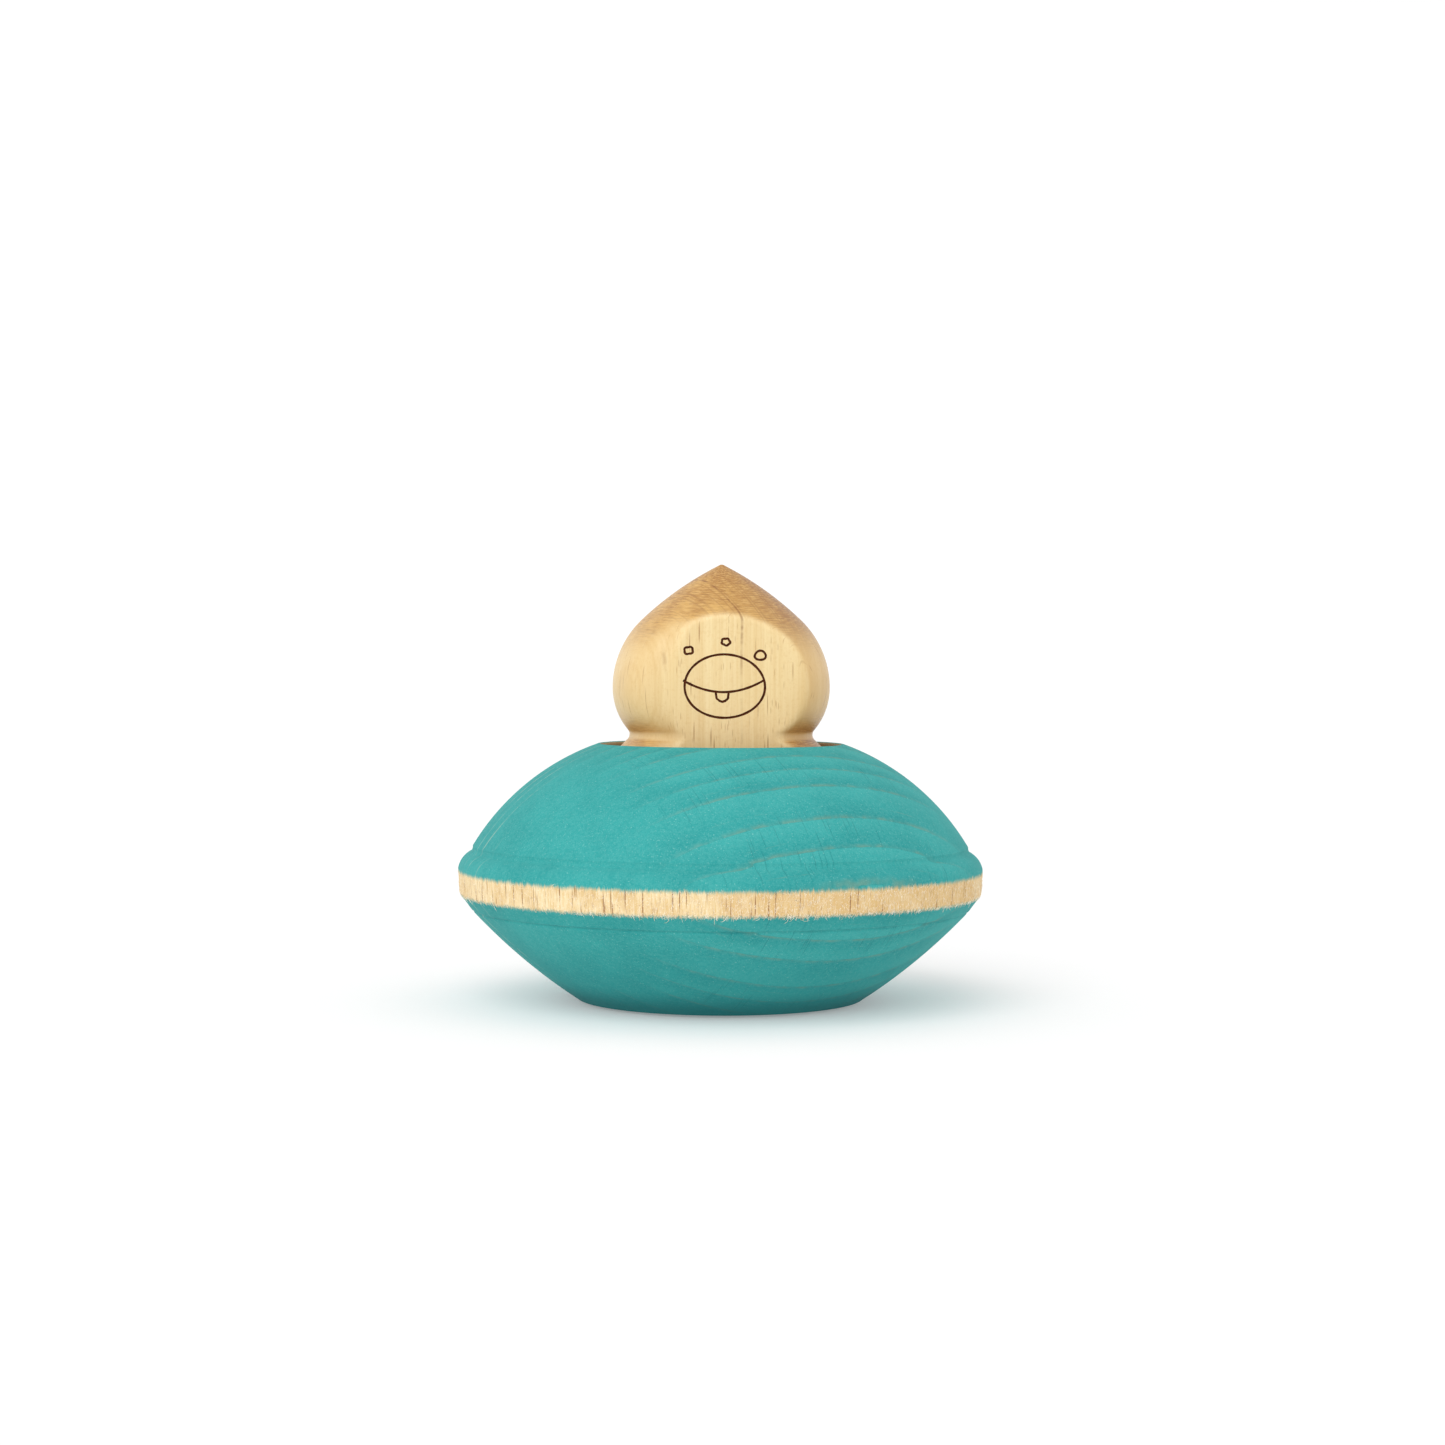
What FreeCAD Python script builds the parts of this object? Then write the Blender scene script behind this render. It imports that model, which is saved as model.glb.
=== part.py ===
import FreeCAD, Part
import math
import os
import Sketcher

# A flying-saucer spinning top with a removable pilot, in millimetres.
#
# The row frame is +Z up, with its origin on the spin axis at the lowest point of the spin tip.
# The pilot's face looks along -Y.
#
#   saucer      the flywheel: a turned wooden saucer with a cockpit recess and a ring foot
#   spin_tip    a domed wooden button pressed into the underside, which the top spins on
#   pilot_peg   a dowel standing in the cockpit floor, free to turn and a close fit
#   pilot       the turned head with two finger flats, which stands on the dowel

SIZES = {
    # saucer, heights above the foot
    "rim_diameter": 80.0,
    "foot_diameter": 43.4,
    "foot_edge": 0.7,
    "hull_curve": 88.0,
    "chine_diameter": 75.7,
    "chine_height": 13.7,
    "band_diameter": 79.6,
    "band_bottom": 16.3,
    "band_edge": 1.2,
    "band_top": 20.1,
    "bead_curve": 3.4,
    "bead_diameter": 76.2,
    "bead_top": 22.5,
    "quirk_curve": 1.2,
    "dome_foot_diameter": 75.58,
    "dome_foot": 23.4,
    "dome_curve": 36.4,
    "dome_top_diameter": 37.74,
    "dome_top": 38.9,
    "lip_curve": 0.5,
    "lip_height": 38.43,
    "cockpit_diameter": 36.4,
    "cockpit_floor": 28.0,
    "cockpit_corner": 1.0,
    "dish_diameter": 34.0,
    "dish_flat": 28.0,
    "dish_depth": 2.0,
    # spin tip
    "tip_reach": 0.35,
    "tip_diameter": 12.0,
    "tip_stem": 6.0,
    "tip_stem_length": 9.0,
    # dowel and its two holes
    "peg_diameter": 10.0,
    "peg_clearance": 0.05,
    "peg_socket": 10.0,
    "peg_stand": 8.0,
    "peg_headroom": 1.0,
    "peg_bevel": 0.8,
    # pilot, heights above the cockpit floor
    "boot_diameter": 34.6,
    "boot_bevel": 1.2,
    "boot_height": 8.6,
    "ankle_diameter": 28.9,
    "ankle_height": 11.45,
    "neck_curve": 1.1,
    "jaw_diameter": 28.6,
    "jaw_height": 13.1,
    "jaw_curve": 10.1,
    "head_diameter": 33.2,
    "head_height": 19.5,
    "crown_curve": 14.32,
    "crown_diameter": 24.3,
    "crown_height": 29.87,
    "point_curve": 49.6,
    "apex_diameter": 0.9,
    "apex_edge": 38.15,
    "apex_height": 38.29,
    "flat_spacing": 22.8,
}


class Length:
    """A length with the expression that ties it to the sheet."""

    def __init__(self, value, text):
        self.value = value
        self.text = text

    def __add__(self, other):
        return Length(self.value + other.value, f"{self.text} + {other.text}")

    def __sub__(self, other):
        return Length(self.value - other.value, f"{self.text} - ({other.text})")

    def half(self):
        return Length(self.value / 2, f"({self.text}) / 2")


def size(alias):
    """The length that the sheet holds under this alias."""
    return Length(SIZES[alias], f"Sizes.{alias}")


ZERO = Length(0.0, "0 mm")

doc = FreeCAD.newDocument("spinning_top")


def make_sheet():
    """Write every driving dimension into the sheet, one row each."""
    sheet = doc.addObject("Spreadsheet::Sheet", "Sizes")
    for row, (alias, value) in enumerate(SIZES.items(), start=1):
        sheet.set(f"A{row}", alias)
        sheet.set(f"B{row}", str(value))
        sheet.setAlias(f"B{row}", alias)
    doc.recompute()


def make_body(label, level):
    """An empty body whose own frame stands at this level on the spin axis."""
    body = doc.addObject("PartDesign::Body", label)
    body.Label = label
    body.Placement = FreeCAD.Placement(FreeCAD.Vector(0, 0, level.value), FreeCAD.Rotation())
    body.setExpression("Placement.Base.z", level.text)
    return body


def origin_feature(body, role):
    """One of the body's own origin planes or axes."""
    return next(part for part in body.Origin.OriginFeatures if part.Role == role)


def new_sketch(body, name, role, level=ZERO):
    """A sketch on one of the body's origin planes, raised along the plane's normal."""
    sketch = body.newObject("Sketcher::SketchObject", name)
    sketch.AttachmentSupport = [(origin_feature(body, role), "")]
    sketch.MapMode = "FlatFace"
    if level is not ZERO:
        sketch.setExpression("AttachmentOffset.Base.z", level.text)
    return sketch


def bind(sketch, constraint, text):
    """Add a constraint and tie its value to an expression."""
    index = sketch.addConstraint(constraint)
    sketch.setExpression(f"Constraints[{index}]", text)


def arc_between(start, end, radius, side):
    """The short arc from start to end: side 1 has its centre on the left of the way, -1 on the right."""
    middle = (start + end) / 2
    way = end - start
    reach = math.sqrt(radius**2 - (way.Length / 2) ** 2)
    left = FreeCAD.Vector(-way.y, way.x, 0).normalize()
    centre = middle + left * (side * reach)
    first = math.atan2(start.y - centre.y, start.x - centre.x)
    last = math.atan2(end.y - centre.y, end.x - centre.x)
    circle = Part.Circle(centre, FreeCAD.Vector(0, 0, 1), radius)
    if side > 0:
        return Part.ArcOfCircle(circle, first, last)
    return Part.ArcOfCircle(circle, last, first)


def draw_outline(sketch, corners):
    """Draw a closed outline.

    Each corner is (x, y) or (x, y, curve, side), where curve and side bend the edge that leaves it.
    """
    points = [FreeCAD.Vector(corner[0].value, corner[1].value, 0) for corner in corners]
    starts = []
    ends = []
    for index, corner in enumerate(corners):
        start = points[index]
        end = points[(index + 1) % len(points)]
        if len(corner) == 2:
            sketch.addGeometry(Part.LineSegment(start, end))
            starts.append(1)
            ends.append(2)
            continue
        curve, side = corner[2:]
        sketch.addGeometry(arc_between(start, end, curve.value, side))
        bind(sketch, Sketcher.Constraint("Radius", index, curve.value), curve.text)
        starts.append(1 if side > 0 else 2)
        ends.append(2 if side > 0 else 1)
    for index, corner in enumerate(corners):
        following = (index + 1) % len(corners)
        join = Sketcher.Constraint("Coincident", index, ends[index], following, starts[following])
        sketch.addConstraint(join)
    for index, corner in enumerate(corners):
        for name, axis, place in (("DistanceX", -2, corner[0]), ("DistanceY", -1, corner[1])):
            if place is ZERO:
                hold = Sketcher.Constraint("PointOnObject", index, starts[index], axis)
                sketch.addConstraint(hold)
            else:
                hold = Sketcher.Constraint(name, -1, 1, index, starts[index], place.value)
                bind(sketch, hold, place.text)


def draw_circle(sketch, radius):
    """Draw a circle centred on the spin axis."""
    circle = Part.Circle(FreeCAD.Vector(0, 0, 0), FreeCAD.Vector(0, 0, 1), radius.value)
    edge = sketch.addGeometry(circle)
    sketch.addConstraint(Sketcher.Constraint("Coincident", edge, 3, -1, 1))
    bind(sketch, Sketcher.Constraint("Radius", edge, radius.value), radius.text)


def turn(body, name, corners):
    """Turn an outline of (radius, height) corners about the spin axis."""
    sketch = new_sketch(body, f"{name}_outline", "XZ_Plane")
    draw_outline(sketch, corners)
    solid = body.newObject("PartDesign::Revolution", name)
    solid.Profile = sketch
    solid.ReferenceAxis = (origin_feature(body, "Z_Axis"), [""])
    solid.Angle = 360
    doc.recompute()
    return solid


def bore(body, name, radius, level, depth, upwards):
    """Bore a blind hole on the spin axis from a level, and check that it cuts its full volume."""
    before = body.Shape.Volume
    sketch = new_sketch(body, f"{name}_circle", "XY_Plane", level)
    draw_circle(sketch, radius)
    pocket = body.newObject("PartDesign::Pocket", name)
    pocket.Profile = sketch
    pocket.setExpression("Length", depth.text)
    pocket.Reversed = upwards
    doc.recompute()
    expected = math.pi * radius.value**2 * depth.value
    assert abs(before - body.Shape.Volume - expected) < 0.01 * expected, name
    return pocket


def round_circles(body, name, radius, circles):
    """Round the circular edges of a turned solid, each found by its (radius, height)."""
    base = body.Tip
    edges = []
    for circle_radius, height in circles:
        for index, edge in enumerate(base.Shape.Edges, start=1):
            if not isinstance(edge.Curve, Part.Circle):
                continue
            right_size = abs(edge.Curve.Radius - circle_radius.value) < 0.01
            if right_size and abs(edge.Curve.Center.z - height.value) < 0.01:
                edges.append(f"Edge{index}")
    assert len(edges) == len(circles), name
    fillet = body.newObject("PartDesign::Fillet", name)
    fillet.Base = (base, edges)
    fillet.setExpression("Radius", radius.text)
    doc.recompute()
    return fillet


def make_saucer():
    """The flywheel: foot, hull, chine, bare band, bead and dome, with the cockpit sunk in the top."""
    body = make_body("saucer", size("tip_reach"))
    foot = size("foot_diameter").half()
    chine = (size("chine_diameter").half(), size("chine_height"))
    band_bottom = (size("band_diameter").half(), size("band_bottom"))
    band_top = (size("rim_diameter").half(), size("band_top"))
    bead_top = (size("bead_diameter").half(), size("bead_top"))
    dome_foot = (size("dome_foot_diameter").half(), size("dome_foot"))
    dome_top = (size("dome_top_diameter").half(), size("dome_top"))
    cockpit = size("cockpit_diameter").half()
    floor = size("cockpit_floor")
    turn(body, "saucer_turned", [
        (ZERO, size("dish_depth")),
        (size("dish_flat").half(), size("dish_depth")),
        (size("dish_diameter").half(), ZERO),
        (foot, ZERO, size("hull_curve"), 1),
        chine,
        band_bottom,
        (*band_top, size("bead_curve"), 1),
        (*bead_top, size("quirk_curve"), -1),
        (*dome_foot, size("dome_curve"), 1),
        (*dome_top, size("lip_curve"), 1),
        (cockpit, size("lip_height")),
        (cockpit, floor),
        (ZERO, floor),
    ])
    round_circles(body, "foot_rounded", size("foot_edge"), [(foot, ZERO)])
    round_circles(body, "band_rounded", size("band_edge"), [band_bottom])
    round_circles(body, "cockpit_rounded", size("cockpit_corner"), [(cockpit, floor)])
    socket = size("peg_diameter").half() + size("peg_clearance")
    bore(body, "peg_socket", socket, floor, size("peg_socket"), upwards=False)
    stem = size("tip_stem").half()
    bore(body, "tip_bore", stem, size("dish_depth"), size("tip_stem_length"), upwards=True)
    return body


def cap_curve(radius, rise):
    """The radius of the sphere whose cap has this rim radius and this rise."""
    value = (radius.value**2 + rise.value**2) / (2 * rise.value)
    text = f"(({radius.text})^2 + ({rise.text})^2) / (2 * ({rise.text}))"
    return Length(value, text)


def make_spin_tip():
    """A mushroom-shaped button: a domed head against the dished underside, and a stem in its bore."""
    body = make_body("spin_tip", ZERO)
    reach = size("tip_reach") + size("dish_depth")
    head = size("tip_diameter").half()
    stem = size("tip_stem").half()
    top = reach + size("tip_stem_length")
    turn(body, "spin_tip_turned", [
        (ZERO, ZERO, cap_curve(head, reach), 1),
        (head, reach),
        (stem, reach),
        (stem, top),
        (ZERO, top),
    ])
    return body


def make_pilot_peg():
    """A plain dowel with bevelled ends, standing on the bottom of its socket."""
    length = size("peg_socket") + size("peg_stand")
    level = size("tip_reach") + size("cockpit_floor") - size("peg_socket")
    body = make_body("pilot_peg", level)
    sketch = new_sketch(body, "peg_circle", "XY_Plane")
    draw_circle(sketch, size("peg_diameter").half())
    pad = body.newObject("PartDesign::Pad", "peg_turned")
    pad.Profile = sketch
    pad.setExpression("Length", length.text)
    doc.recompute()
    ends = [
        f"Edge{index}"
        for index, edge in enumerate(pad.Shape.Edges, start=1)
        if isinstance(edge.Curve, Part.Circle)
    ]
    bevel = body.newObject("PartDesign::Chamfer", "peg_bevelled")
    bevel.Base = (pad, ends)
    bevel.setExpression("Size", size("peg_bevel").text)
    doc.recompute()
    return body


def cut_flats(body):
    """Cut one flat in front for the face and its mirror image behind, for finger and thumb."""
    sketch = new_sketch(body, "flat_outline", "XY_Plane")
    head = size("head_diameter")
    flat = size("flat_spacing").half()
    minus_head = Length(-head.value, f"-({head.text})")
    minus_flat = Length(-flat.value, f"-({flat.text})")
    draw_outline(sketch, [
        (minus_head, minus_head),
        (head, minus_head),
        (head, minus_flat),
        (minus_head, minus_flat),
    ])
    before = body.Shape.Volume
    front = body.newObject("PartDesign::Pocket", "face_flat")
    front.Profile = sketch
    front.setExpression("Length", size("apex_height").text)
    front.Reversed = True
    doc.recompute()
    one_flat = before - body.Shape.Volume
    assert one_flat > 0, "face_flat"
    both = body.newObject("PartDesign::Mirrored", "both_flats")
    both.Originals = [front]
    both.MirrorPlane = (origin_feature(body, "XZ_Plane"), [""])
    body.Tip = both
    doc.recompute()
    assert abs(before - body.Shape.Volume - 2 * one_flat) < 0.01 * one_flat, "both_flats"
    return both


def make_pilot():
    """The head: boot, waisted neck, onion-shaped head and pointed crown, bored for the dowel."""
    body = make_body("pilot", size("tip_reach") + size("cockpit_floor"))
    boot = size("boot_diameter").half()
    bevel = size("boot_bevel")
    apex = size("apex_diameter").half()
    apex_curve = cap_curve(apex, size("apex_height") - size("apex_edge"))
    turn(body, "pilot_turned", [
        (ZERO, ZERO),
        (boot - bevel, ZERO),
        (boot, bevel),
        (boot, size("boot_height")),
        (size("ankle_diameter").half(), size("ankle_height"), size("neck_curve"), -1),
        (size("jaw_diameter").half(), size("jaw_height"), size("jaw_curve"), 1),
        (size("head_diameter").half(), size("head_height"), size("crown_curve"), 1),
        (size("crown_diameter").half(), size("crown_height"), size("point_curve"), 1),
        (apex, size("apex_edge"), apex_curve, 1),
        (ZERO, size("apex_height")),
    ])
    hole = size("peg_diameter").half() + size("peg_clearance")
    depth = size("peg_stand") + size("peg_headroom")
    bore(body, "peg_hole", hole, ZERO, depth, upwards=True)
    cut_flats(body)
    return body


def check_document():
    """Stop if any object of the document failed to build."""
    for item in doc.Objects:
        bad = [state for state in item.State if state in ("Invalid", "Error")]
        assert not bad, (item.Name, item.State)
        if item.TypeId == "Sketcher::SketchObject":
            assert item.FullyConstrained, item.Name


def write_part(body):
    """Write one sub-part's solid to its file."""
    shape = body.Shape
    assert not shape.isNull() and shape.isValid(), body.Label
    assert len(shape.Solids) == 1, body.Label
    box = shape.optimalBoundingBox()
    print(f"{body.Label}: {shape.Volume:.1f} mm3, z {box.ZMin:.2f} to {box.ZMax:.2f}, "
          f"{box.XLength:.2f} x {box.YLength:.2f}")
    shape.exportStep(f"parts/{body.Label}.step")


make_sheet()
bodies = [make_saucer(), make_spin_tip(), make_pilot_peg(), make_pilot()]
doc.recompute()
check_document()
os.makedirs("parts", exist_ok=True)
for part in bodies:
    write_part(part)
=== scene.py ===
import math
import random

import bmesh
import bpy
from mathutils import Euler, Matrix, Vector


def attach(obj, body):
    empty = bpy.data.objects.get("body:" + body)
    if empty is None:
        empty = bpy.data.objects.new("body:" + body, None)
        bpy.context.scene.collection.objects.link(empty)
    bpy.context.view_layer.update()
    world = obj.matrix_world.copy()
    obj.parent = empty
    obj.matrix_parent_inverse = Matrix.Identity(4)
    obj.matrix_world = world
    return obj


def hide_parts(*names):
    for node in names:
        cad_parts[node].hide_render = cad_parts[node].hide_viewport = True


# A flying-saucer spinning top. Every turned piece is a lathe mesh of the CAD node's own outline, the
# pilot gets its flats, eased creases and engraved face in mesh code, and all the wood is solid
# texture: fibres run up the Z axis, and growth rings, rays and pores go right through each piece.

MM = 0.001
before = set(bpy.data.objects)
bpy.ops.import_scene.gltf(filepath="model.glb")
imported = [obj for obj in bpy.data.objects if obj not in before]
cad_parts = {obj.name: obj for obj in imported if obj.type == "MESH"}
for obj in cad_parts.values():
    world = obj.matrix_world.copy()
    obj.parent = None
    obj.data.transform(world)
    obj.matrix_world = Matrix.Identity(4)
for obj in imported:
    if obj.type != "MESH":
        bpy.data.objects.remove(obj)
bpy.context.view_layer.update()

# ------------------------------------------------------------------ sizes, in millimetres

SEGMENTS = 320              # round each turned piece
ROW_STEP = 0.5              # between rows of a turned piece
PILOT_SEGMENTS = 400
PILOT_ROW_STEP = 0.32
SHARP_TURN = 25             # degrees; an outline that turns by more has a corner there

FOOT = 0.35                 # height of the ring foot, above the spin tip's lowest point
BAND_LOW = FOOT + 16.1     # the bare band's edges
BAND_HIGH = FOOT + 19.6
CHINE = (37.85, FOOT + 13.7)  # where the rim meets the hull
SCORE_WIDTH = 0.7
SCORE_DEPTH = 0.15
RIM_RADIUS = 40
COCKPIT_RADIUS = 18.2
HEAD_RADIUS = 16
FLAT = 11.4                 # from the pilot's axis to each flat
SOFT_CREASE = 4.5           # width of the eased crease on the pilot's right cheek, at the viewer's left
CRISP_CREASE = 0.9
FACE_HEIGHT = FOOT + 47.85   # the middle of the mouth
FUZZ = 3200                 # raised fibres on the band
LINE_WIDTH = 0.36           # of the burned lines
LINE_DEPTH = 0.16

WALL = 1.08                 # brightness of the studio's walls and ceiling
CEILING = 0.82
LEFT_LEVEL = 1.06           # and the share of it at the viewer's left and right
RIGHT_LEVEL = 0.94

SAUCER_RINGS = 26           # degrees from the front to the ring normal, positive to the viewer's right
PILOT_RINGS = -58
DOWEL_RINGS = 20
TIP_RINGS = -15


# ------------------------------------------------------------------ outlines and lathe meshes

def seam_outline(node):
    """The CAD node's outline in the half plane y = 0, x > 0: (radius, height) points in mm, in order."""
    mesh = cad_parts[node].data
    place = {}
    for vertex in mesh.vertices:
        x, y, z = vertex.co / MM
        if abs(y) < 0.001 and x > -0.001:
            place[vertex.index] = (round(max(x, 0.0), 3), round(z, 3))
    neighbours = {}
    for edge in mesh.edges:
        a, b = (place.get(index) for index in edge.vertices)
        if a and b and a != b:
            neighbours.setdefault(a, set()).add(b)
            neighbours.setdefault(b, set()).add(a)
    ends = sorted((point for point, others in neighbours.items() if len(others) == 1),
                  key=lambda point: point[1])
    outline = [ends[0]]
    while len(outline) < len(neighbours):
        onward = [point for point in neighbours[outline[-1]] if point not in outline]
        if not onward:
            break
        outline.append(onward[0])
    return outline


def turn_angle(before, here, after):
    """How far an outline turns at a point, in degrees."""
    first = Vector((here[0] - before[0], here[1] - before[1]))
    second = Vector((after[0] - here[0], after[1] - here[1]))
    return math.degrees(first.angle(second, 0.0))


def smooth_outline(points, step):
    """The outline with points no further apart than step, curved between its corners."""
    smooth = []
    for index in range(len(points) - 1):
        here, after = Vector(points[index]), Vector(points[index + 1])
        before = 2 * here - after
        beyond = 2 * after - here
        if index > 0 and turn_angle(points[index - 1], here, after) < SHARP_TURN:
            before = Vector(points[index - 1])
        if index + 2 < len(points) and turn_angle(here, after, points[index + 2]) < SHARP_TURN:
            beyond = Vector(points[index + 2])
        length = (after - here).length
        count = max(1, math.ceil(length / step))
        start = (after - before).normalized() * length
        end = (beyond - here).normalized() * length
        for part in range(count):
            u = part / count
            smooth.append(
                here * (2 * u**3 - 3 * u**2 + 1)
                + start * (u**3 - 2 * u**2 + u)
                + after * (3 * u**2 - 2 * u**3)
                + end * (u**3 - u**2)
            )
    smooth.append(Vector(points[-1]))
    return smooth


def face_outward(mesh):
    """Turn every face of a closed mesh to the outside."""
    fix = bmesh.new()
    fix.from_mesh(mesh)
    bmesh.ops.recalc_face_normals(fix, faces=fix.faces)
    fix.to_mesh(mesh)
    fix.free()


def lathe(name, outline, segments):
    """A closed solid of revolution about Z from an outline of (radius, height) points in mm."""
    mesh = bpy.data.meshes.new(name)
    verts = []
    faces = []
    rows = []
    for radius, height in outline:
        if radius < 0.001:
            rows.append([len(verts)])
            verts.append((0.0, 0.0, height * MM))
            continue
        rows.append(list(range(len(verts), len(verts) + segments)))
        for step in range(segments):
            angle = 2 * math.pi * step / segments
            verts.append((radius * math.cos(angle) * MM, radius * math.sin(angle) * MM, height * MM))
    for low, high in zip(rows, rows[1:]):
        for step in range(segments):
            after = (step + 1) % segments
            if len(low) == 1:
                faces.append((low[0], high[after], high[step]))
            elif len(high) == 1:
                faces.append((low[step], low[after], high[0]))
            else:
                faces.append((low[step], low[after], high[after], high[step]))
    for row in (rows[0], rows[-1]):
        if len(row) > 1:
            faces.append(row if row is rows[-1] else row[::-1])
    mesh.from_pydata(verts, [], faces)
    face_outward(mesh)
    return add_piece(name, mesh)


def add_piece(name, mesh):
    """An object in the scene with this mesh, shaded smooth except at its corners."""
    piece = bpy.data.objects.new(name, mesh)
    bpy.context.scene.collection.objects.link(piece)
    mesh.shade_smooth()
    mesh.set_sharp_from_angle(angle=math.radians(SHARP_TURN))
    return piece


def scored(outline, corner, width, depth):
    """The outline with a fine groove cut in at the corner nearest to this (radius, height) point."""
    middle = min(range(len(outline)), key=lambda index: (outline[index] - Vector(corner)).length)
    centre = outline[middle]
    before = [point for point in outline[:middle] if (point - centre).length > width * 0.6]
    after = [point for point in outline[middle + 1:] if (point - centre).length > width * 0.6]
    to_start = (before[-1] - centre).normalized()
    to_end = (after[0] - centre).normalized()
    inward = Vector((to_start.y - to_end.y, to_end.x - to_start.x)).normalized()
    if inward.x > 0:
        inward.negate()
    groove = []
    for share in (-1, -0.7, -0.45, -0.22, 0, 0.22, 0.45, 0.7, 1):
        way = to_start if share < 0 else to_end
        sink = depth * (1 - share * share) ** 2
        groove.append(centre + way * abs(share) * width / 2 + inward * sink)
    return before + groove + after


def turned_piece(name, node, body, slot, material, segments=SEGMENTS, step=ROW_STEP):
    """A fine lathe mesh that stands for a turned CAD node."""
    piece = lathe(name, smooth_outline(seam_outline(node), step), segments)
    stand_for(piece, node, body, slot, material)
    return piece


def make_saucer(material):
    """The stained shell, with the turner's fine score line where the rim meets the hull; its outline."""
    outline = smooth_outline(seam_outline("saucer"), ROW_STEP)
    outline = scored(outline, CHINE, SCORE_WIDTH, SCORE_DEPTH)
    piece = lathe("saucer_shell", outline, SEGMENTS)
    stand_for(piece, "saucer", "flywheel", "stained_beech", material)
    return outline


def stand_for(piece, node, body, slot, *materials):
    """Give a piece its materials, its body and the CAD node that it replaces."""
    for material in materials:
        piece.data.materials.append(material)
    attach(piece, body)
    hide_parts(node)


# ------------------------------------------------------------------ the pilot's flats and face

def smooth_step(low, high, value):
    """0 below low, 1 above high, and smooth between them."""
    share = min(max((value - low) / (high - low), 0.0), 1.0)
    return share * share * (3 - 2 * share)


def eased_limit(value, limit, width):
    """value held below limit, with the corner eased over this width."""
    near = max(width - abs(value - limit), 0.0) / width
    return min(value, limit) - near * near * width / 4


def cut_flats(piece):
    """Press the turned head flat in front and behind, softer at the viewer's left."""
    for vertex in piece.data.vertices:
        x, y, _ = vertex.co / MM
        width = CRISP_CREASE + (SOFT_CREASE - CRISP_CREASE) * smooth_step(5.0, 9.0, -x)
        vertex.co.y = math.copysign(eased_limit(abs(y), FLAT, width), y) * MM


def ring(centre, radii, wobble=0.0, lobes=3, seed=0.0, count=96):
    """A closed loop on the flat, as (x, height) points: an ellipse with this many soft corners."""
    points = []
    for step in range(count):
        angle = 2 * math.pi * step / count
        swell = 1 + wobble * (math.cos(lobes * angle + seed) + 0.4 * math.cos(2 * angle + 2.1 * seed))
        points.append((centre[0] + radii[0] * swell * math.cos(angle),
                       centre[1] + radii[1] * swell * math.sin(angle)))
    return points


def bow(start, end, sag, count=48):
    """An open curve on the flat from start to end that hangs by sag in the middle."""
    points = []
    for step in range(count + 1):
        share = step / count
        drop = sag * 4 * share * (1 - share)
        points.append((start[0] + (end[0] - start[0]) * share,
                       start[1] + (end[1] - start[1]) * share - drop))
    return points


def face_lines():
    """The burned lines: a round mouth with a smile across it, one tooth, and three eyes above."""
    middle, level = -0.28, FACE_HEIGHT
    smile_ends = (middle - 6.2, level + 0.85), (middle + 5.85, level + 0.9)
    smile_sag = 1.75
    tooth_top = level + 0.875 - smile_sag
    tooth = [(middle - 1.35, tooth_top + 0.05), (middle - 1.2, tooth_top - 0.95),
             (middle - 0.75, tooth_top - 1.3), (middle - 0.35, tooth_top - 1.45),
             (middle + 0.1, tooth_top - 1.3), (middle + 0.5, tooth_top - 0.95),
             (middle + 0.6, tooth_top + 0.05)]
    return [
        (ring((middle, level), (6.0, 4.72), 0.006, 3, 0.8), True),
        (bow(*smile_ends, smile_sag), False),
        (tooth, False),
        (ring((middle - 5.4, level + 5.3), (0.64, 0.55), 0.10, 4, 2.6, 40), True),
        (ring((middle + 0.15, level + 6.6), (0.63, 0.50), 0.09, 5, 0.9, 40), True),
        (ring((middle + 5.3, level + 4.6), (0.84, 0.67), 0.05, 3, 1.7, 40), True),
    ]


def groove_cutter(name, points, closed):
    """A tube along a line on the flat, set so that it cuts a groove of the line's width and depth."""
    half = LINE_WIDTH / 2
    radius = (half**2 + LINE_DEPTH**2) / (2 * LINE_DEPTH)
    depth = LINE_DEPTH - radius
    sides = 16
    verts = []
    faces = []
    count = len(points)
    for index, point in enumerate(points):
        before = points[index - 1] if closed or index else point
        after = points[(index + 1) % count] if closed or index + 1 < count else point
        along = Vector((after[0] - before[0], after[1] - before[1])).normalized()
        swell = 1 + 0.10 * math.sin(0.9 * index + 1.3 * points[0][0]) * math.sin(0.37 * index)
        for side in range(sides):
            angle = 2 * math.pi * side / sides
            out = radius * swell * math.cos(angle)
            deep = -FLAT + depth + radius * math.sin(angle)
            verts.append(((point[0] + along.y * out) * MM, deep * MM, (point[1] - along.x * out) * MM))
    for index in range(count if closed else count - 1):
        after = (index + 1) % count
        for side in range(sides):
            beside = (side + 1) % sides
            faces.append((index * sides + side, index * sides + beside,
                          after * sides + beside, after * sides + side))
    if not closed:
        faces.append(list(range(sides))[::-1])
        faces.append([(count - 1) * sides + side for side in range(sides)])
    mesh = bpy.data.meshes.new(name)
    mesh.from_pydata(verts, [], faces)
    face_outward(mesh)
    return mesh


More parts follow.
